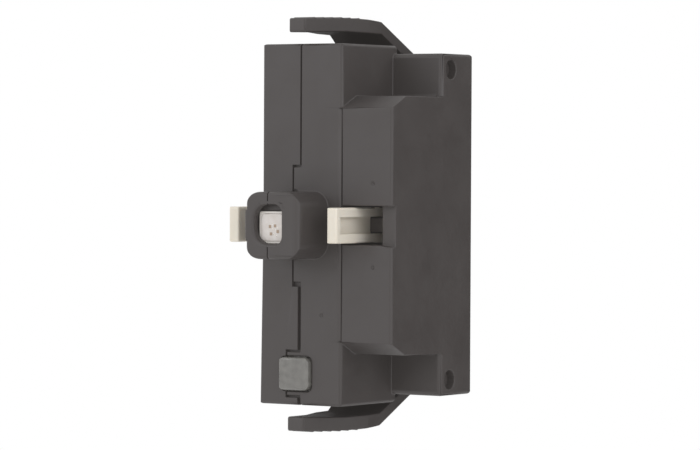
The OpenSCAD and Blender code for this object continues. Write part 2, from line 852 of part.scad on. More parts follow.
// U-channel at the front, two legs through the guide, and the head behind it
module plunger() color(ivory) {
    x0 = plunger_x;
    x1 = plunger_x + plunger_w;
    z = plunger_h / 2;
    leg_in = z - flange_t;
    y0 = -plunger_reach;
    edge = plunger_edge_r;
    difference() {
        intersection() {
            prism_y(y0, head_front + over)
                soft_rect([x0, -z], [x1, z], [edge, edge, edge, edge]);
            prism_x(x0, x1)
                soft_rect([y0, -z], [head_front + over, z], [plunger_r, 0, 0, plunger_r]);
            prism_z(-z, z)
                soft_rect([x0, y0], [x1, head_front + over], [plunger_r, plunger_r, 0, 0]);
        }
        // the channel between the flanges, open to the side
        slab([x0 + web_t, y0 + plunger_front_t, -leg_in], [x1 + over, web_end, leg_in]);
        // behind the web only the two legs are left
        slab([x0 - over, web_end, -leg_in], [x1 + over, head_front, leg_in]);
    }
    slider_head();
}

module slider_head() {
    z = plunger_h / 2;
    x0 = slider_x - head_w / 2;
    x1 = slider_x + head_w / 2;
    gap = bridge_gap;
    difference() {
        slab([x0, head_front, -z], [x1, head_rear, z]);
        // window for the contact bridge
        slab([slider_x - bridge_w / 2 - gap, bridge_front - gap, -z - over],
            [slider_x + bridge_w / 2 + gap, bridge_rear + gap, z + over]);
        // blind hole for the return spring
        translate([slider_x, head_rear + over, 0]) rotate([90, 0, 0])
            cylinder(h = head_rear + over - spring_seat, r = spring_d / 2 + spring_gap);
    }
}

module plunger_right() plunger();
module plunger_left() mirrored_left() plunger();

// flat strip with a rivet at each end that shows on both faces
module contact_bridge() color(silver) {
    slab([slider_x - bridge_w / 2, bridge_front, -bridge_end],
        [slider_x + bridge_w / 2, bridge_rear, bridge_end]);
    for (end = [-1, 1])
        translate([slider_x, bridge_rear + rivet_h, end * contact_z]) rotate([90, 0, 0])
            cylinder(h = bridge_t + 2 * rivet_h, r = rivet_r);
}

module contact_bridge_right() contact_bridge();
module contact_bridge_left() mirrored_left() contact_bridge();

// helical wire, a ring of points for each step of the turns
module return_spring() color(steel) {
    steps = 14;
    sides = 8;
    rings = round(spring_turns * steps);
    mean_r = (spring_d - spring_wire) / 2;
    wire_r = spring_wire / 2;
    start = spring_seat + wire_r + contact_gap;
    rise = rear_in - spring_seat - spring_wire - 2 * contact_gap;
    points = [for (i = [0:rings]) for (j = [0:sides - 1])
        let (turn = 360 * i / steps, tilt = 360 * j / sides, r = mean_r + wire_r * cos(tilt))
        [r * cos(turn), start + rise * i / rings + wire_r * sin(tilt), r * sin(turn)]];
    sheath = [for (i = [0:rings - 1]) for (j = [0:sides - 1])
        let (a = i * sides + j, b = i * sides + (j + 1) % sides)
        [a, b, b + sides, a + sides]];
    ends = [[for (j = [sides - 1:-1:0]) j], [for (j = [0:sides - 1]) rings * sides + j]];
    translate([slider_x, 0, 0]) polyhedron(points, concat(sheath, ends));
}

module return_spring_right() return_spring();
module return_spring_left() mirrored_left() return_spring();

// pin of the plug socket, from y0 to its tip
module socket_pin(y0, z) {
    half = pin_side / 2;
    slab([pin_x - half, y0, z - half], [pin_x + half, pin_tip, z + half]);
}

module fixed_rivet(y0) {
    translate([slider_x, y0 + rivet_h, contact_z]) rotate([90, 0, 0])
        cylinder(h = rivet_h, r = rivet_r);
}

// closed at rest: its rivet faces the bridge from the front
module nc_contact() color(copper) {
    pin_low = pin_pitch - pin_side / 2;
    strip_x = slider_x - strip_w / 2;
    slab([pin_x - pin_side / 2, nc_front, pin_low], [strip_x + strip_w, nc_rear, pin_low + strip_w]);
    slab([strip_x, nc_front, pin_low], [strip_x + strip_w, nc_rear, bridge_end]);
    fixed_rivet(nc_rear);
    socket_pin(nc_front, pin_pitch);
}

// open at rest: its strip comes round the bridge's end and faces it from the rear
module no_contact() color(copper) {
    row = 2 * pin_pitch;
    strip_x = slider_x - strip_w / 2;
    low = row - strip_t / 2;
    high = row + strip_t / 2;
    no_rear = no_front + strip_t;
    slab([pin_x - pin_side / 2, no_cross_front, low],
        [strip_x + strip_w, no_cross_front + strip_t, high]);
    slab([strip_x, no_cross_front, low], [strip_x + strip_w, no_rear, high]);
    slab([strip_x, no_front, contact_z - rivet_r - rivet_margin],
        [strip_x + strip_w, no_rear, high]);
    fixed_rivet(no_front - rivet_h);
    socket_pin(no_cross_front, row);
}

module nc_contact_right_upper() nc_contact();
module nc_contact_right_lower() mirrored_down() nc_contact();
module nc_contact_left_upper() mirrored_left() nc_contact();
module nc_contact_left_lower() mirrored_left() mirrored_down() nc_contact();
module no_contact_right_upper() no_contact();
module no_contact_right_lower() mirrored_down() no_contact();
module no_contact_left_upper() mirrored_left() no_contact();
module no_contact_left_lower() mirrored_left() mirrored_down() no_contact();

// a box open to the rear, held by lips behind the shells' rear wall
module socket_body() color(socket_black) {
    hole = pin_side / 2 + pin_gap;
    r = socket_r;
    x = socket_in_x;
    z = socket_in_z;
    difference() {
        union() {
            prism_y(socket_front, total_depth - socket_recess)
                soft_rect([-socket_x, -socket_z], [socket_x, socket_z], [r, r, r, r]);
            slab([-socket_x, rear_in - lip_t, -socket_z - socket_lip],
                [socket_x, rear_in, socket_z + socket_lip]);
        }
        prism_y(socket_floor, total_depth + over) soft_rect([-x, -z], [x, z], [r, r, r, r]);
        for (side = [-1, 1], row = [-2:2])
            translate([side * pin_x - hole, socket_front - over, row * pin_pitch - hole])
                cube([2 * hole, socket_floor_t + 2 * over, 2 * hole]);
        // keying groove in the right wall
        slab([x - over, socket_floor + key_end, -key_w / 2],
            [x + socket_wall / 2, total_depth + over, key_w / 2]);
    }
}

// stands upright beside the LED, with a tongue into the collar
module circuit_board() color(board_green) {
    foot = board_foot_gap + wall - nose_z;
    notch_top = window_h / 2 - window_z + notch_margin;
    notch_y = wall + notch_margin;
    tongue_front = led_front + board_tongue_gap;
    prism_x(board_x, board_x + board_t)
        polygon([[tongue_front, -board_tongue_half], [tongue_front, board_tongue_half],
            [wall, board_tongue_half], [wall, board_top], [board_rear, board_top],
            [board_rear, foot], [notch_y, foot], [notch_y, notch_top],
            [wall, notch_top], [wall, -board_tongue_half]]);
}

// soldered flat on the board's right face
module led_pin_right() color(copper) {
    socket_pin(foot_y, 0);
}

// bent pin from the board's left face to the other column
module led_pin_left() color(copper) {
    half = pin_side / 2;
    slab([-pin_x - half, foot_y, -half], [board_x, foot_y + pin_side, half]);
    mirrored_left() socket_pin(foot_y, 0);
}

// outline of the LED's body or of its cup, seen from the front
module led_outline(side, r, mark_r) {
    half = side / 2;
    translate([led_x, -led_drop]) soft_rect([-half, -half], [half, half], [r, mark_r, r, r]);
}

// white reflector block, soldered on its right side
module led_body() color(light_white) {
    difference() {
        prism_y(led_front, led_front + led_depth) led_outline(led_side, led_r, led_mark_r);
        prism_y(led_front - over, led_cup_floor) led_outline(led_cup, cup_r, cup_r);
    }
}

// clear filling of the reflector, with a small crown at the front
module led_lens() color(light_white, 0.8) {
    crown_r = arc_r(led_side, led_crown);
    front = led_front - led_crown;
    intersection() {
        prism_y(front, led_cup_floor) led_outline(led_cup, cup_r, cup_r);
        prism_z(-led_side, led_side) translate([led_x, front + crown_r]) circle(crown_r, $fn = 240);
        prism_x(-led_side, led_side) translate([front + crown_r, -led_drop])
            circle(crown_r, $fn = 240);
    }
}

// light guide: a cushion at the front, a flange behind the wall and a stem
module diagnostic_window() color(window_grey) {
    x = window_w / 2;
    z = window_h / 2;
    r = window_r;
    edge = window_reach * window_crown;
    front = -window_reach;
    back = wall + window_play;
    translate([-window_shift, 0, -window_z]) {
        intersection() {
            prism_y(front, back + window_play) soft_rect([-x, -z], [x, z], [r, r, r, r]);
            prism_z(-z, z) soft_rect([-x, front], [x, wall + over], [edge, edge, 0, 0]);
            prism_x(-x, x) soft_rect([front, -z], [wall + over, z], [edge, 0, 0, edge]);
        }
        slab([-x - window_flange, back, -z - window_flange],
            [x + window_flange, wall + window_flange_t, z + window_flange]);
        slab([-window_stem, back, -window_stem],
            [window_stem, wall + window_stem_h, window_stem]);
    }
}

// a box soldered on the board's left face, given its rear end's depth
module board_part(rear, z, size) {
    slab([board_x - size.x, rear - size.y, z - size.z / 2], [board_x, rear, z + size.z / 2]);
}

// side-looking light behind the window's stem
module diagnostic_led() color(light_white)
    board_part(wall + window_stem_h + stem_gap + side_led_size.y, -window_z, side_led_size);

module rectifier() color(epoxy_black)
    board_part(part_rear, rectifier_z, rectifier_size);

module control_chip() color(epoxy_black)
    board_part(part_rear, -chip_z, chip_size);

module series_resistor_upper() color(epoxy_black)
    board_part(part_rear, resistor_z + resistor_pitch, resistor_size);

module series_resistor_lower() color(epoxy_black)
    board_part(part_rear, resistor_z, resistor_size);

module suppressor_diode() color(epoxy_black)
    board_part(part_rear, -diode_z, diode_size);

housing();
cover();
plunger_right();
plunger_left();
contact_bridge_right();
contact_bridge_left();
return_spring_right();
return_spring_left();
nc_contact_right_upper();
nc_contact_right_lower();
no_contact_right_upper();
no_contact_right_lower();
nc_contact_left_upper();
nc_contact_left_lower();
no_contact_left_upper();
no_contact_left_lower();
socket_body();
circuit_board();
led_pin_right();
led_pin_left();
led_body();
led_lens();
diagnostic_window();
diagnostic_led();
rectifier();
control_chip();
series_resistor_upper();
series_resistor_lower();
suppressor_diode();
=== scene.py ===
import math

import bmesh
import bpy
from mathutils import Matrix, Vector


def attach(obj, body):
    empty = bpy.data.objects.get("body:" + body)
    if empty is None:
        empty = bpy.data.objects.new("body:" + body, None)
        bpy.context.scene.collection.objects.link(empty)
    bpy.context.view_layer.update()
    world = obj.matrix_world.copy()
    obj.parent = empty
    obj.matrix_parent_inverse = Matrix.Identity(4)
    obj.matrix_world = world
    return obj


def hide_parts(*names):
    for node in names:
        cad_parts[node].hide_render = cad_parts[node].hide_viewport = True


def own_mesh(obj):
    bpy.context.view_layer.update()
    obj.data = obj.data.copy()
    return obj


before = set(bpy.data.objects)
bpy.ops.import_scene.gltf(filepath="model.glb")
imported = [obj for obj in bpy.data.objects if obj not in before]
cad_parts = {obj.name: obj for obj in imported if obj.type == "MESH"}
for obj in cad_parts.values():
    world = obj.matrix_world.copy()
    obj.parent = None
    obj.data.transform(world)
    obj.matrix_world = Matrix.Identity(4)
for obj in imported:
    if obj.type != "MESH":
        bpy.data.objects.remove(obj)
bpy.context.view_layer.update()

mm = 0.001
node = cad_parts

# THE CAMERA
# It stands to the right of the block and level with it, far enough off that the
# upright edges stay almost parallel. The picture is 700 x 450.
camera_target = Vector((5.02, 3.36, -0.02)) * mm
camera_distance = 470 * mm
camera_azimuth = math.radians(33.79)
camera_rise = math.radians(0.99)
camera_roll = math.radians(0.278)
camera_data = bpy.data.cameras.new("camera")
camera_data.sensor_width = 36
camera_data.lens = 194.28
camera_data.clip_start = 0.01
camera_data.clip_end = 20
camera = bpy.data.objects.new("camera", camera_data)
bpy.context.scene.collection.objects.link(camera)
camera_back = Vector((
    math.sin(camera_azimuth) * math.cos(camera_rise),
    -math.cos(camera_azimuth) * math.cos(camera_rise),
    math.sin(camera_rise),
))
camera.location = camera_target + camera_back * camera_distance
camera_turn = camera_back.to_track_quat("Z", "Y").to_matrix() @ Matrix.Rotation(camera_roll, 3, "Z")
camera.rotation_euler = camera_turn.to_euler()
bpy.context.scene.camera = camera


# sRGB hex to the linear colour that a shader socket takes
def colour(hex_code):
    parts = [int(hex_code[i:i + 2], 16) / 255 for i in (0, 2, 4)]
    linear = [c / 12.92 if c <= 0.04045 else ((c + 0.055) / 1.055) ** 2.4 for c in parts]
    return (*linear, 1)


# adds one node to a material, with its settings and the links into it
def add_node(material, kind, settings=None, links=None):
    tree = material.node_tree
    made = tree.nodes.new(kind)
    for name, value in (settings or {}).items():
        if name in made.inputs:
            made.inputs[name].default_value = value
        else:
            setattr(made, name, value)
    for name, source in (links or {}).items():
        tree.links.new(source, made.inputs[name])
    return made


# SHELLS
# Two half shells of black-brown glass-filled polyamide, injection moulded in a
# tool with a fine eroded finish and pressed together on two moulded pegs. The
# eye sees a soft sheen on a faint even grain, and thin light lines at the edges.


# a moulded, rolled or glossy surface: two tints in soft clouds, a roughness that
# varies with them, and a fine grain in relief
def surface(name, tints, cloud, rough, grain, relief, settings=None, stretch=(1, 1, 1)):
    material = bpy.data.materials.new(name)
    material.use_nodes = True
    tree = material.node_tree
    shader = tree.nodes["Principled BSDF"]
    for socket, value in (settings or {}).items():
        shader.inputs[socket].default_value = value
    place = add_node(material, "ShaderNodeTexCoord")
    spread = add_node(material, "ShaderNodeMapping", {"Scale": stretch},
                      {"Vector": place.outputs["Object"]})
    clouds = add_node(material, "ShaderNodeTexNoise",
                      {"Scale": 1 / (cloud * mm), "Detail": 4, "Roughness": 0.6},
                      {"Vector": spread.outputs["Vector"]})
    tint = add_node(material, "ShaderNodeMix", {"data_type": "RGBA"}, {"Factor": clouds.outputs["Fac"]})
    tint.inputs[6].default_value = colour(tints[0])
    tint.inputs[7].default_value = colour(tints[1])
    tree.links.new(tint.outputs[2], shader.inputs["Base Color"])
    polish = add_node(material, "ShaderNodeMapRange",
                      {"From Min": 0.3, "From Max": 0.7, "To Min": rough[0], "To Max": rough[1]},
                      {"Value": clouds.outputs["Fac"]})
    tree.links.new(polish.outputs["Result"], shader.inputs["Roughness"])
    specks = add_node(material, "ShaderNodeTexNoise",
                      {"Scale": 1 / (grain * mm), "Detail": 2, "Roughness": 0.5},
                      {"Vector": spread.outputs["Vector"]})
    bumps = add_node(material, "ShaderNodeBump", {"Strength": 0.3, "Distance": relief * mm},
                     {"Height": specks.outputs["Fac"]})
    tree.links.new(bumps.outputs["Normal"], shader.inputs["Normal"])
    return material


# a prism along Y or X from a drawing in millimetres
def prism(name, outline, low, high, axis="Y"):
    bpy.ops.object.select_all(action="DESELECT")
    bpy.ops.mesh.primitive_circle_add(vertices=len(outline), radius=mm, fill_type="NGON")
    made = bpy.context.object
    made.name = name
    for corner, (u, v) in zip(made.data.vertices, outline):
        corner.co = Vector((u, low, v) if axis == "Y" else (low, u, v)) * mm
    along = Vector((0, high - low, 0) if axis == "Y" else (high - low, 0, 0)) * mm
    bpy.ops.object.mode_set(mode="EDIT")
    bpy.ops.mesh.select_all(action="SELECT")
    bpy.ops.mesh.extrude_region_move(TRANSFORM_OT_translate={"value": along})
    bpy.ops.mesh.select_all(action="SELECT")
    bpy.ops.mesh.normals_make_consistent(inside=False)
    bpy.ops.object.mode_set(mode="OBJECT")
    return made


# points of a quarter round, from one angle to another
def round_points(u, v, r, start, end, steps=8):
    angles = [math.radians(start + (end - start) * i / steps) for i in range(steps + 1)]
    return [(u + r * math.cos(a), v + r * math.sin(a)) for a in angles]


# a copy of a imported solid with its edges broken, as the mould tool leaves them
def moulded_skin(name, source, edge, material, cutters=(), clamp=True):
    bpy.ops.object.select_all(action="DESELECT")
    skin = bpy.data.objects.new(name, source.data.copy())
    bpy.context.scene.collection.objects.link(skin)
    skin.select_set(True)
    bpy.context.view_layer.objects.active = skin
    bpy.ops.object.mode_set(mode="EDIT")
    bpy.ops.mesh.select_all(action="SELECT")
    bpy.ops.mesh.remove_doubles(threshold=0.002 * mm)
    bpy.ops.mesh.dissolve_limited(angle_limit=math.radians(0.5))
    bpy.ops.mesh.normals_make_consistent(inside=False)
    bpy.ops.object.mode_set(mode="OBJECT")
    for cutter in cutters:
        cut = skin.modifiers.new("round_off", "BOOLEAN")
        cut.operation = "DIFFERENCE"
        cut.solver = "EXACT"
        cut.object = cutter
        bpy.ops.object.modifier_apply(modifier="round_off")
    bevel = skin.modifiers.new("broken_edges", "BEVEL")
    bevel.width = edge * mm
    bevel.segments = 2
    bevel.limit_method = "ANGLE"
    bevel.angle_limit = math.radians(40)
    bevel.use_clamp_overlap = clamp
    bevel.miter_outer = "MITER_ARC"
    bpy.ops.object.modifier_apply(modifier="broken_edges")
    # a bevel's mitre never stands outside the solid's own box
    lowest, highest = source.bound_box[0], source.bound_box[6]
    for vertex in skin.data.vertices:
        kept = [min(max(value, low), high) for value, low, high in zip(vertex.co, lowest, highest)]
        if (vertex.co - Vector(kept)).length > 0.01 * mm:
            vertex.co = kept
    bpy.ops.object.shade_smooth_by_angle(angle=math.radians(35))
    flat = skin.modifiers.new("flat_faces", "WEIGHTED_NORMAL")
    flat.keep_sharp = True
    flat.weight = 90
    bpy.ops.object.modifier_apply(modifier="flat_faces")
    skin.data.materials.clear()
    skin.data.materials.append(material)
    return skin


polyamide = surface("moulded_polyamide_black_brown", ("302B2A", "36312F"), 5, (0.44, 0.6), 0.11,
                    0.02, {"IOR": 1.53})
# what the tool rounds off more: the base's edges along its depth
round_offs = []
for x, z, r, low, high in ((13.4, 21.45, 0.5, 11, 19), (-13.4, 21.45, 0.5, 11, 19)):
    for end in (1, -1):
        side = 1 if x > 0 else -1
        corner = [(0.4, 0.4), (-r, 0.4)] + round_points(-r, -r, r, 90, 0) + [(0.4, -r)]
        round_offs.append(prism("round_off", [(x + side * u, end * (z + v)) for u, v in corner], low, high))
# and the pegs' ends, which stand deeper in their holes
for end in (1, -1):
    round_offs.append(prism("peg_end", round_points(13.46, end * 19.45, 1.18, 0, 345, 23), 12.4, 13.7, "X"))
for shell in ("housing", "cover"):
    skin = moulded_skin(shell + "_skin", node[shell], 0.14 if shell == "housing" else 0.06, polyamide,
                        round_offs, shell == "cover")
    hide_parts(shell)
    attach(skin, "block")
for cutter in round_offs:
    bpy.data.objects.remove(cutter)

# the small nub on each peg's end
for end in (1, -1):
    bpy.ops.object.select_all(action="DESELECT")
    bpy.ops.mesh.primitive_uv_sphere_add(segments=24, ring_count=12, radius=0.42 * mm)
    nub = bpy.context.object
    nub.name = f"peg_nub_{'upper' if end > 0 else 'lower'}"
    bpy.ops.object.mode_set(mode="EDIT")
    bpy.ops.mesh.select_all(action="SELECT")
    bpy.ops.transform.resize(value=(0.6, 1, 1))
    bpy.ops.transform.translate(value=Vector((12.42, 13.46, end * 19.45)) * mm)
    bpy.ops.object.mode_set(mode="OBJECT")
    bpy.ops.object.shade_smooth_by_angle(angle=math.radians(60))
    nub.data.materials.append(polyamide)
    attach(nub, "block")

# LAP RIB AND TONGUES
# What shows inside the shells' gaps, in the same polyamide: the lap rib behind the
# parting line, the strip that half fills the shoulder groove, and the guide tongues
# between the plungers' flanges. The eye sees dark brown lines, not black ones.


# boxes given by their low and high corners in millimetres, joined in one piece
def moulded_bars(name, bars, edge, material):
    pieces = []
    for low, high in bars:
        bpy.ops.object.select_all(action="DESELECT")
        bpy.ops.mesh.primitive_cube_add(size=1)
        bar = bpy.context.object
        bpy.ops.object.mode_set(mode="EDIT")
        bpy.ops.mesh.select_all(action="SELECT")
        bpy.ops.transform.resize(value=[(h - l) * mm for l, h in zip(low, high)])
        bpy.ops.mesh.bevel(offset=edge * mm, segments=2)
        bpy.ops.transform.translate(value=[(h + l) / 2 * mm for l, h in zip(low, high)])
        bpy.ops.object.mode_set(mode="OBJECT")
        pieces.append(bar)
    for bar in pieces:
        bar.select_set(True)
    bpy.context.view_layer.objects.active = pieces[0]
    bpy.ops.object.join()
    piece = bpy.context.object
    piece.name = name
    bpy.ops.object.shade_smooth_by_angle(angle=math.radians(35))
    piece.data.materials.append(material)
    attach(piece, "block")
    return piece


rib_front, rib_rear = 0.5, 1
moulded_bars("lap_rib", [
    ((-0.4, rib_front, 7.6), (0, rib_rear, 22.3)), ((-1.65, rib_front, 7), (0, rib_rear, 7.6)),
    ((-1.65, rib_front, 4.4), (-1.1, rib_rear, 7)), ((-1.65, rib_front, -7), (-1.1, rib_rear, -4.5)),
    ((-1.65, rib_front, -7.9), (0, rib_rear, -7)), ((-0.7, rib_front, -15.5), (0, rib_rear, -7.9)),
    ((-2.5, rib_front, -16.1), (0, rib_rear, -15.5)), ((-2.5, rib_front, -21.7), (0, rib_rear, -21.05)),
    ((-0.7, rib_front, -22.3), (0, rib_rear, -21.7))], 0.01, polyamide)
moulded_bars("led_frame", [((-3.3, -4.9, 1.78), (1.3, -3, 2.5)), ((-3.3, -4.9, -2.5), (-2.82, -3, 1.74))],
             0.02, polyamide)
moulded_bars("groove_strip", [((5.3, -0.004, -14.4), (5.97, 0.9, 14.4))], 0.08, polyamide)
moulded_bars("guide_tongues", [((7.36, 4.36, -0.85), (11.75, 7.5, 0.85)),
                               ((-9.2, 4.36, -0.7), (-7.36, 7.5, 0.7))], 0.06, polyamide)

# fillets between the shoulder and the base, one above and one below
for end in (1, -1):
    section = round_points(11, end * 16.4, 0.4, -90 * end, 0, 6) + [(11.6, end * 16.4), (11.6, end * 15.9),
                                                                    (11, end * 15.9)]
    fillet = prism(f"shoulder_fillet_{'upper' if end > 0 else 'lower'}", section, 5.8, 12.6, "X")
    bpy.ops.object.shade_smooth_by_angle(angle=math.radians(35))
    fillet.data.materials.append(polyamide)
    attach(fillet, "block")

# the lining that narrows the light opening: round on its left, with a soft mouth
lining_steps = 8
inner = (round_points(0.4, 1.55, 1, 0, 90, lining_steps) + round_points(-0.85, 0.55, 2, 90, 180, lining_steps)
         + round_points(-0.85, -0.3, 2, 180, 270, lining_steps) + round_points(0.4, -1.3, 1, 270, 360, lining_steps))
middle = Vector((-0.75, 0.15))
lining = prism("light_opening_lining", inner, -6.402, -5.4)
shape = bmesh.new()
shape.from_mesh(lining.data)
caps = [f for f in shape.faces if abs(f.normal.y) > 0.9]
rims = [sorted(f.verts, key=lambda v: math.atan2(v.co.z / mm - middle.y, v.co.x / mm - middle.x)) for f in caps]
bmesh.ops.delete(shape, geom=caps, context="FACES_ONLY")
for rim in rims:
    wider = []
    for i, v in enumerate(rim):
        before, after = rim[i - 1].co, rim[(i + 1) % len(rim)].co
        out = Vector(((after - before).z, 0, -(after - before).x)).normalized()
        place = v.co + out * 1.4 * mm
        wider.append(shape.verts.new((max(min(place.x, 1.6 * mm), -3.53 * mm), v.co.y,
                                      max(min(place.z, 2.68 * mm), -2.68 * mm))))
    for i in range(len(rim)):
        k = (i + 1) % len(rim)
        shape.faces.new((rim[i], rim[k], wider[k], wider[i]))
    rim.append(wider)
for i in range(len(inner)):
    k = (i + 1) % len(inner)
    shape.faces.new((rims[0][-1][i], rims[0][-1][k], rims[1][-1][k], rims[1][-1][i]))
bmesh.ops.recalc_face_normals(shape, faces=shape.faces[:])
mouth = [e for e in shape.edges if all(v.co.y < -6 * mm for v in e.verts)
         and {v.index for v in e.verts} and all(v in rims[0] or v in rims[1] for v in e.verts)]
bmesh.ops.bevel(shape, geom=mouth, offset=0.4 * mm, segments=5, profile=0.5, affect="EDGES")
shape.to_mesh(lining.data)
shape.free()
bpy.ops.object.shade_smooth_by_angle(angle=math.radians(40))
lining.data.materials.append(polyamide)
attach(lining, "block")

# the two grip ribs nearest the crest of each lever
for row, (y, half, drop) in enumerate(((6.1, 3.05, 0.003), (7.5, 3.45, 0.03))):
    for end in (1, -1):
        z = end * (25.82 + 0.08 - 0.4 - drop)
        rib = prism(f"grip_rib_{row + 1}_{'upper' if end > 0 else 'lower'}",
                    round_points(y, z, 0.4, 0, 345, 23), -half, half, "X")
        bpy.ops.object.mode_set(mode="EDIT")
        bpy.ops.mesh.select_all(action="SELECT")
        bpy.ops.mesh.bevel(offset=0.02 * mm, segments=1)
        bpy.ops.object.mode_set(mode="OBJECT")
        bpy.ops.object.shade_smooth_by_angle(angle=math.radians(35))
        rib.data.materials.append(polyamide)
        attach(rib, "block")

# PLUNGERS
# Two sliders of natural ivory acetal. Each is a U-channel at the front, with two
# legs through the guide. The eye sees a waxy, slightly see-through white.
acetal = surface("natural_acetal_ivory", ("D6CEBF", "DDD6C8"), 3, (0.34, 0.44), 0.2, 0.01,
                 {"IOR": 1.48, "Subsurface Weight": 0.35, "Subsurface Radius": (1, 0.92, 0.82),
                  "Subsurface Scale": 0.35 * mm})
for side, way in (("right", 1), ("left", -1)):
    softened = []
    for x, inward in ((6.6, 1), (8.1, -1)):
        for end in (1, -1):
            corner = [(-0.3, 0.3), (-0.3, -0.3)] + round_points(0.3, -0.3, 0.3, 180, 90) + [(0.3, 0.3)]
            softened.append(prism("soft_corner", [(way * (x + inward * u), end * (2.2 + v)) for u, v in corner],
                                  -4.5, 4.5))
    slider = moulded_skin(f"plunger_{side}_skin", node[f"plunger_{side}"], 0.05, acetal, softened)
    for cutter in softened:
        bpy.data.objects.remove(cutter)
    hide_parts(f"plunger_{side}")
    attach(slider, f"slider_{side}")

# LED
# A white reflector block with a clear silicone filling and four small dies on
# its floor. The eye sees milky glass with bright specks and brown patches.
reflector = surface("white_reflector_resin", ("DAD4CC", "E4DFD8"), 2, (0.3, 0.4), 0.1, 0.005)
silicone = surface("clear_silicone", ("D8CCC2", "FAF6F2"), 0.9, (0.06, 0.16), 0.3, 0.02,
                   {"IOR": 1.41, "Transmission Weight": 0.2, "Coat Weight": 0.5, "Coat Roughness": 0.05})
phosphor = surface("amber_phosphor", ("94806C", "B09C88"), 0.3, (0.5, 0.6), 0.08, 0.01)
bond_pad = surface("silvered_bond_pad", ("F0E8DC", "F8F4EC"), 0.5, (0.15, 0.25), 0.05, 0.002, {"Metallic": 1})
body_skin = moulded_skin("led_body_skin", node["led_body"], 0.08, reflector)
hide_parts("led_body")
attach(body_skin, "block")
lens_skin = moulded_skin("led_lens_skin", node["led_lens"], 0.08, silicone)
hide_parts("led_lens")
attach(lens_skin, "block")
led_x, led_y, led_z = -0.75, -5.2, -0.3
dies = [("led_die", phosphor, "CUBE", 0.2, spot) for spot in
        ((-1.05, -0.2), (-0.3, -0.1), (-0.9, -1.1), (0.1, -0.8))]
dies += [("led_bond", bond_pad, "BALL", 0.1, spot) for spot in
         ((-0.65, -0.5), (-0.25, -0.6), (-0.5, -1.15), (-0.1, -1.35), (-0.7, 0.15), (0.05, -0.3))]
for count, (name, material, kind, half, (x, z)) in enumerate(dies):
    bpy.ops.object.select_all(action="DESELECT")
    if kind == "CUBE":
        bpy.ops.mesh.primitive_cube_add(size=2)
    else:
        bpy.ops.mesh.primitive_uv_sphere_add(segments=16, ring_count=10, radius=1)
    die = bpy.context.object
    die.name = f"{name}_{count + 1}"
    bpy.ops.object.mode_set(mode="EDIT")
    bpy.ops.mesh.select_all(action="SELECT")
    bpy.ops.transform.resize(value=(half * mm, 0.1 * mm, half * mm))
    if kind == "CUBE":
        bpy.ops.mesh.bevel(offset=0.04 * mm, segments=2)
    bpy.ops.transform.translate(value=Vector((x, led_y - 0.02, z)) * mm)
    bpy.ops.object.mode_set(mode="OBJECT")
    bpy.ops.object.shade_smooth_by_angle(angle=math.radians(40))
    die.data.materials.append(material)
    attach(die, "block")

# DIAGNOSTIC WINDOW
# A light guide of smoke-grey translucent polycarbonate, polished at the front. The
# eye sees a grey cushion with a glint along its rounded right edge.
smoke = surface("smoke_grey_polycarbonate", ("4E4C48", "83817B"), 0.8, (0.14, 0.26), 0.4, 0.03,
                {"IOR": 1.585, "Transmission Weight": 0.25, "Coat Weight": 0.6, "Coat Roughness": 0.08})
softened = []
for side in (1, -1):
    for end in (1, -1):
        corner = [(0.3, 0.3), (-1, 0.3)] + round_points(-1, -1, 1, 90, 0) + [(0.3, -1)]
        softened.append(prism("soft_corner", [(-0.8 + side * (2.3 + u), -18.6 + end * (2.1 + v))
                                              for u, v in corner], -0.8, 1.15))
window_skin = moulded_skin("diagnostic_window_skin", node["diagnostic_window"], 0.2, smoke, softened)
for cutter in softened:
    bpy.data.objects.remove(cutter)
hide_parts("diagnostic_window")
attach(window_skin, "block")

# RETURN SPRINGS
# Cold-drawn stainless wire wound on a mandrel, five turns between the slider head
# and the rear wall. The eye sees thin bright lines along the round wire.
wire_steel = surface("drawn_spring_wire", ("8E8E8C", "9B9B99"), 0.8, (0.22, 0.34), 0.04, 0.002,
                     {"Metallic": 1})
spring_x, spring_rear, spring_seat = 7.35, 17.5, 11.45
wire_r, coil_r, spring_turns = 0.13, 0.77, 5
coil_steps, wire_sides = 26, 12
for side, joint, way in (("right", "plunger_right_push", 1), ("left", "plunger_left_push", -1)):
    bpy.ops.object.select_all(action="DESELECT")
    start = spring_seat + wire_r + 0.02
    rise = spring_rear - spring_seat - 2 * wire_r - 0.04
    rings = spring_turns * coil_steps
    bpy.ops.mesh.primitive_circle_add(vertices=wire_sides, radius=wire_r * mm, fill_type="NGON")
    spring = bpy.context.object
    spring.name = f"return_spring_{side}_coil"
    ring = [v.co.copy() for v in spring.data.vertices]
    coil = bmesh.new()
    loops = []
    for i in range(rings + 1):
        turn = 2 * math.pi * i / coil_steps
        loops.append([coil.verts.new((
            way * (spring_x + (coil_r + p.x / mm) * math.cos(turn)) * mm,
            (start + rise * i / rings + p.y / mm) * mm,
            (coil_r + p.x / mm) * math.sin(turn) * mm)) for p in ring])
    for low, high in zip(loops, loops[1:]):
        for j in range(wire_sides):
            k = (j + 1) % wire_sides
            coil.faces.new((low[j], low[k], high[k], high[j]))
    coil.faces.new(loops[0])
    coil.faces.new(loops[-1][::-1])
    bmesh.ops.recalc_face_normals(coil, faces=coil.faces[:])
    coil.to_mesh(spring.data)
    coil.free()
    bpy.ops.object.shade_smooth_by_angle(angle=math.radians(50))
    spring.data.materials.append(wire_steel)
    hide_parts(f"return_spring_{side}")
    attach(spring, "block")
    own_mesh(spring)

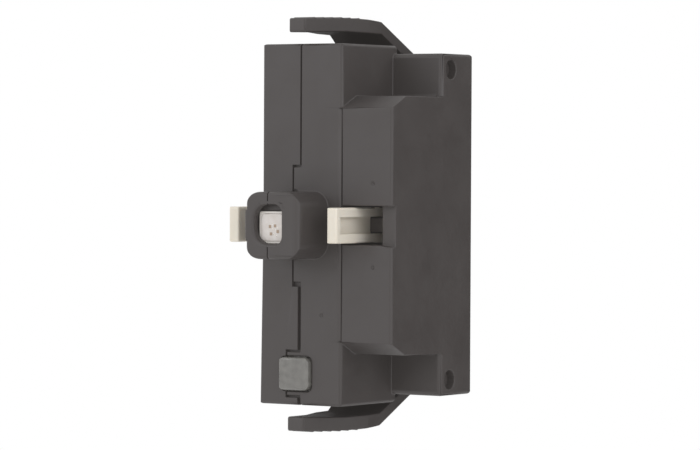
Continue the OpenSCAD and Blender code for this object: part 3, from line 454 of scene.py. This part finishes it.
# CONTACTS
# Silver-faced bridges and tinned bronze strips, stamped and bent, with the pins of
# the plug socket. The eye sees rolled metal with fine lines along the strip.
silver = surface("rolled_silver_copper", ("B9B6AE", "C8C5BE"), 1.5, (0.22, 0.36), 0.05, 0.003,
                 {"Metallic": 1}, (1, 1, 8))
bronze = surface("stamped_tin_bronze", ("B08858", "BF9867"), 1.5, (0.26, 0.4), 0.05, 0.003,
                 {"Metallic": 1}, (8, 1, 1))
contact_skins = {f"contact_bridge_{side}": (silver, "contact_silver", f"slider_{side}")
                 for side in ("right", "left")}
for kind in ("nc", "no"):
    for side in ("right", "left"):
        for level in ("upper", "lower"):
            contact_skins[f"{kind}_contact_{side}_{level}"] = (bronze, "contact_strip", "block")
for side in ("right", "left"):
    contact_skins[f"led_pin_{side}"] = (bronze, "contact_strip", "block")
for name, (metal, finish, body) in contact_skins.items():
    strip = moulded_skin(name + "_skin", node[name], 0.05, metal)
    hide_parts(name)
    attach(strip, body)

# PLUG SOCKET
# Black polybutylene terephthalate, moulded with a sharp matt finish. The eye sees
# a deep even black with light lines at the mouth's edges.
socket_black = surface("matt_black_socket_resin", ("222225", "2A2A2D"), 4, (0.5, 0.62), 0.1, 0.015)
socket_skin = moulded_skin("socket_body_skin", node["socket_body"], 0.1, socket_black)
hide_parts("socket_body")
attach(socket_skin, "block")

# CIRCUIT BOARD
# Glass-epoxy board under green solder mask with its soldered parts. The eye sees
# glossy green, dull black chip bodies and a small white light.
solder_mask = surface("green_solder_mask", ("1F5A38", "2A6B45"), 2.5, (0.18, 0.3), 0.4, 0.01)
chip_epoxy = surface("moulded_chip_epoxy", ("1C1C1E", "262628"), 1, (0.45, 0.6), 0.06, 0.01)
board_finishes = {"circuit_board": (solder_mask, "board_laminate"),
                  "diagnostic_led": (reflector, "led_white")}
for name in ("rectifier", "control_chip", "series_resistor_upper", "series_resistor_lower",
             "suppressor_diode"):
    board_finishes[name] = (chip_epoxy, "chip_epoxy")
for name, (material, finish) in board_finishes.items():
    piece = moulded_skin(name + "_skin", node[name], 0.06, material)
    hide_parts(name)
    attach(piece, "block")

# STAGE
# A white sweep under soft light, as in a catalogue picture, with a grey card behind
# on the right that keeps the side faces deeper than the front.
bpy.ops.object.select_all(action="DESELECT")
bpy.ops.mesh.primitive_plane_add(size=3, location=(0, 0, -0.3))
floor = bpy.context.object
floor.name = "floor"
paper = surface("white_paper", ("F8F8F8", "FCFCFC"), 40, (0.85, 0.95), 1, 0.01)
floor.data.materials.append(paper)
bpy.ops.mesh.primitive_plane_add(size=1)
card = bpy.context.object
card.name = "grey_card"
bpy.ops.object.mode_set(mode="EDIT")
bpy.ops.mesh.select_all(action="SELECT")
bpy.ops.transform.resize(value=(0.4, 0.4, 0.4))
bpy.ops.transform.rotate(value=math.radians(90), orient_axis="X")
bpy.ops.transform.rotate(value=math.radians(34), orient_axis="Z")
bpy.ops.transform.translate(value=(0.25, 0.37, 0))
bpy.ops.object.mode_set(mode="OBJECT")
grey_card = surface("grey_card_board", ("343434", "3A3A3A"), 50, (0.9, 1), 0.5, 0.05)
card.data.materials.append(grey_card)

world = bpy.data.worlds.new("studio")
bpy.context.scene.world = world
world.use_nodes = True
world.node_tree.nodes["Background"].inputs["Color"].default_value = (1, 1, 1, 1)
world.node_tree.nodes["Background"].inputs["Strength"].default_value = 1.0


# a square soft light that looks at the block from a place in millimetres
def soft_light(name, place, size, power):
    lamp = bpy.data.lights.new(name, "AREA")
    lamp.size = size * mm
    lamp.energy = power
    lamp.color = (0.9, 0.92, 1)
    holder = bpy.data.objects.new(name, lamp)
    bpy.context.scene.collection.objects.link(holder)
    holder.location = Vector(place) * mm
    holder.rotation_euler = Vector(place).to_track_quat("Z", "Y").to_euler()
    return holder


soft_light("key_light", (-260, -480, 200), 260, 0.44)
soft_light("side_light", (420, -120, 160), 200, 0.42)
bpy.context.scene.view_settings.view_transform = "Standard"
# the bright paper's glare in the lens lifts the darkest tones a little
bpy.context.scene.view_settings.use_curve_mapping = True
bpy.context.scene.view_settings.curve_mapping.black_level = (-0.019, -0.0175, -0.0165)
